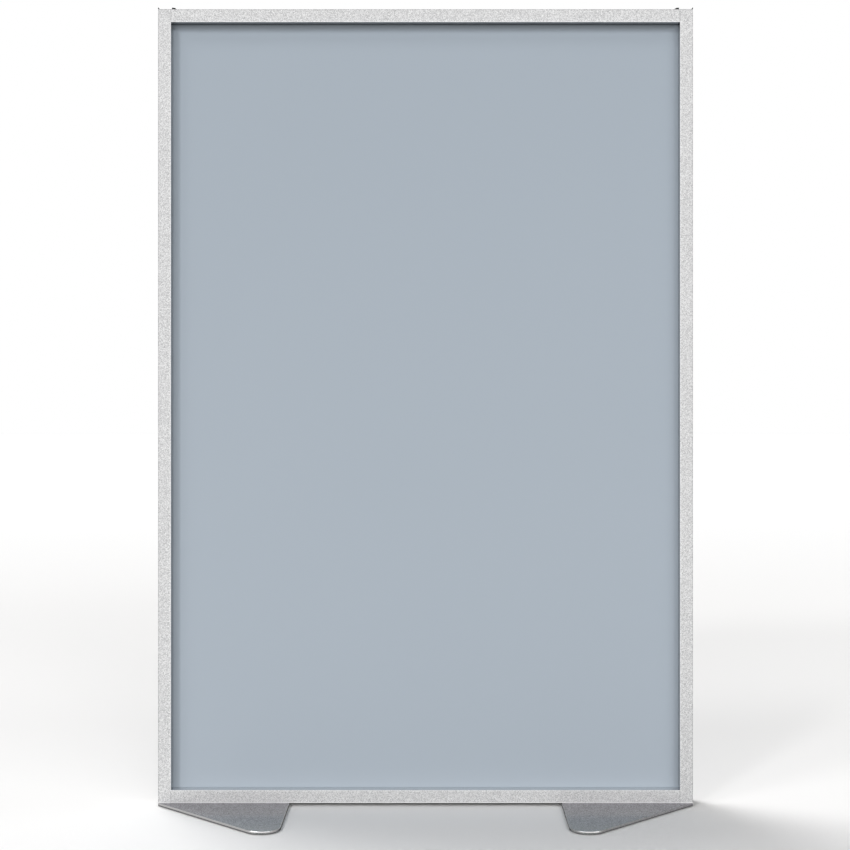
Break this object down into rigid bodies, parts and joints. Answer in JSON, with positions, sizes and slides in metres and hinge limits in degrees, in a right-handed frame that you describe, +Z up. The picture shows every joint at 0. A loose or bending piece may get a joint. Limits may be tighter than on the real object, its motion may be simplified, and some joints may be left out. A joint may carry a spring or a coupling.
{
  "type": "portable partition",
  "caption": "Free-standing single-panel partition: an opaque panel in a satin aluminium frame on two flat plate feet.",
  "frame": {"origin": "on the floor, in the mid-plane of the panel, halfway between the two feet", "axes": "+Z up, +X along the width, -Y out of the front face; front and back are alike"},
  "size_m": [0.918, 0.4164, 1.3706],
  "materials": {
    "satin_aluminium": "satin",
    "panel_face": "smooth matte",
    "foot_finish": "satin silver-grey",
    "gasket_rubber": "matt",
    "strip_vinyl": "satin",
    "cap_plastic": "moulded matt",
    "pad_rubber": "matt",
    "zinc_steel": "zinc plated",
    "key_aluminium": "mill"
  },
  "bodies": {
    "root": {"bottom_rail": "satin_aluminium", "corner_key_bottom_left": "key_aluminium", "corner_key_bottom_right": "key_aluminium", "corner_key_top_left": "key_aluminium", "corner_key_top_right": "key_aluminium", "corner_screws_bottom_left": "zinc_steel", "corner_screws_bottom_right": "zinc_steel", "corner_screws_top_left": "zinc_steel", "corner_screws_top_right": "zinc_steel", "gasket_bottom": "gasket_rubber", "gasket_left": "gasket_rubber", "gasket_right": "gasket_rubber", "gasket_top": "gasket_rubber", "infill_panel": "panel_face", "left_cover_strip": "strip_vinyl", "left_foot_blocks": "key_aluminium", "left_foot_bolts": "zinc_steel", "left_foot_pads": "pad_rubber", "left_foot_plate": "foot_finish", "left_nut_plate": "zinc_steel", "left_post": "satin_aluminium", "left_post_cap": "cap_plastic", "right_cover_strip": "strip_vinyl", "right_foot_blocks": "key_aluminium", "right_foot_bolts": "zinc_steel", "right_foot_pads": "pad_rubber", "right_foot_plate": "foot_finish", "right_nut_plate": "zinc_steel", "right_post": "satin_aluminium", "right_post_cap": "cap_plastic", "top_cover_strip": "strip_vinyl", "top_rail": "satin_aluminium"}
  },
  "joints": []
}
